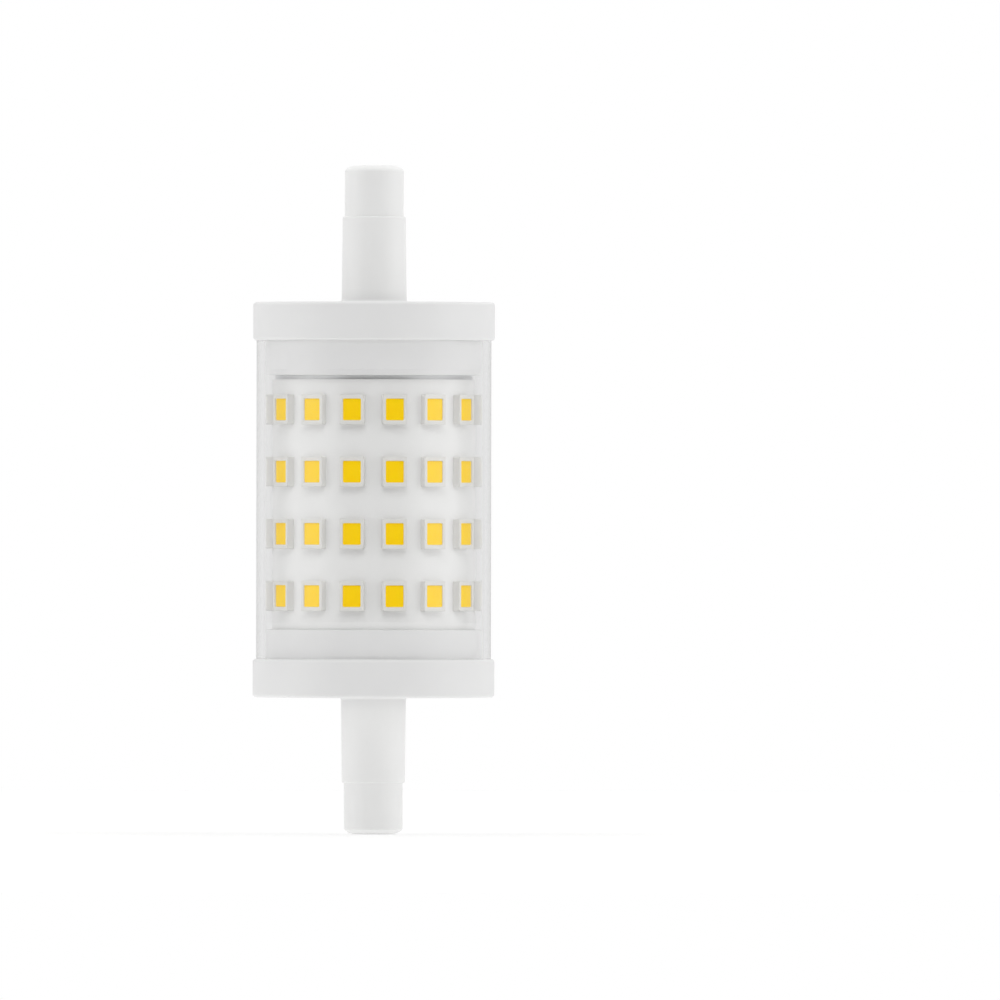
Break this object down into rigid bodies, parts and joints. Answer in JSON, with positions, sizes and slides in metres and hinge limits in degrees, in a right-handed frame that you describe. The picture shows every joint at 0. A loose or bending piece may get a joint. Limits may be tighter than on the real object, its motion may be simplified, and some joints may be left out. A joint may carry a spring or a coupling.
{
  "type": "linear led bulb",
  "caption": "Double-ended linear LED lamp: a clear tube over a cylindrical core ringed with LEDs, closed by white end caps whose slim necks carry recessed contacts.",
  "frame": {"origin": "middle of the lamp, on its axis", "axes": "+Z along the lamp's axis towards the upper end, -Y towards the front, with the driver board and the LED board's seam at the back"},
  "size_m": [0.0282, 0.0282, 0.078],
  "materials": {
    "clear_polycarbonate": "clear, polished",
    "white_cap_plastic": "moulded, satin",
    "nickel_contact": "nickel plated",
    "core_aluminium": "drawn",
    "white_solder_mask": "satin solder mask",
    "led_body_plastic": "moulded, satin",
    "yellow_phosphor": "silicone with phosphor",
    "green_board": "solder mask on glass epoxy",
    "resistor_coating": "flameproof coating",
    "black_epoxy": "moulded",
    "film_capacitor_box": "dipped epoxy",
    "ferrite": "sintered",
    "enamelled_copper": "enamelled wire",
    "capacitor_sleeve": "shrink sleeve",
    "white_wire": "insulation",
    "red_wire": "insulation",
    "black_wire": "insulation"
  },
  "bodies": {
    "root": {"outer_tube": "clear_polycarbonate", "upper_end_cap": "white_cap_plastic", "lower_end_cap": "white_cap_plastic", "upper_contact": "nickel_contact", "lower_contact": "nickel_contact", "heat_sink_tube": "core_aluminium", "led_board": "white_solder_mask", "led_packages_ring_1": "led_body_plastic", "led_packages_ring_2": "led_body_plastic", "led_packages_ring_3": "led_body_plastic", "led_packages_ring_4": "led_body_plastic", "led_phosphor_ring_1": "yellow_phosphor", "led_phosphor_ring_2": "yellow_phosphor", "led_phosphor_ring_3": "yellow_phosphor", "led_phosphor_ring_4": "yellow_phosphor", "driver_board": "green_board", "fusible_resistor": "resistor_coating", "bridge_rectifier": "black_epoxy", "film_capacitor": "film_capacitor_box", "drum_choke": "ferrite", "choke_winding": "enamelled_copper", "bulk_capacitor": "capacitor_sleeve", "driver_chip": "black_epoxy", "output_diode": "black_epoxy", "upper_lead_wire": "white_wire", "lower_lead_wire": "white_wire", "led_feed_wire_positive": "red_wire", "led_feed_wire_negative": "black_wire"}
  },
  "joints": []
}
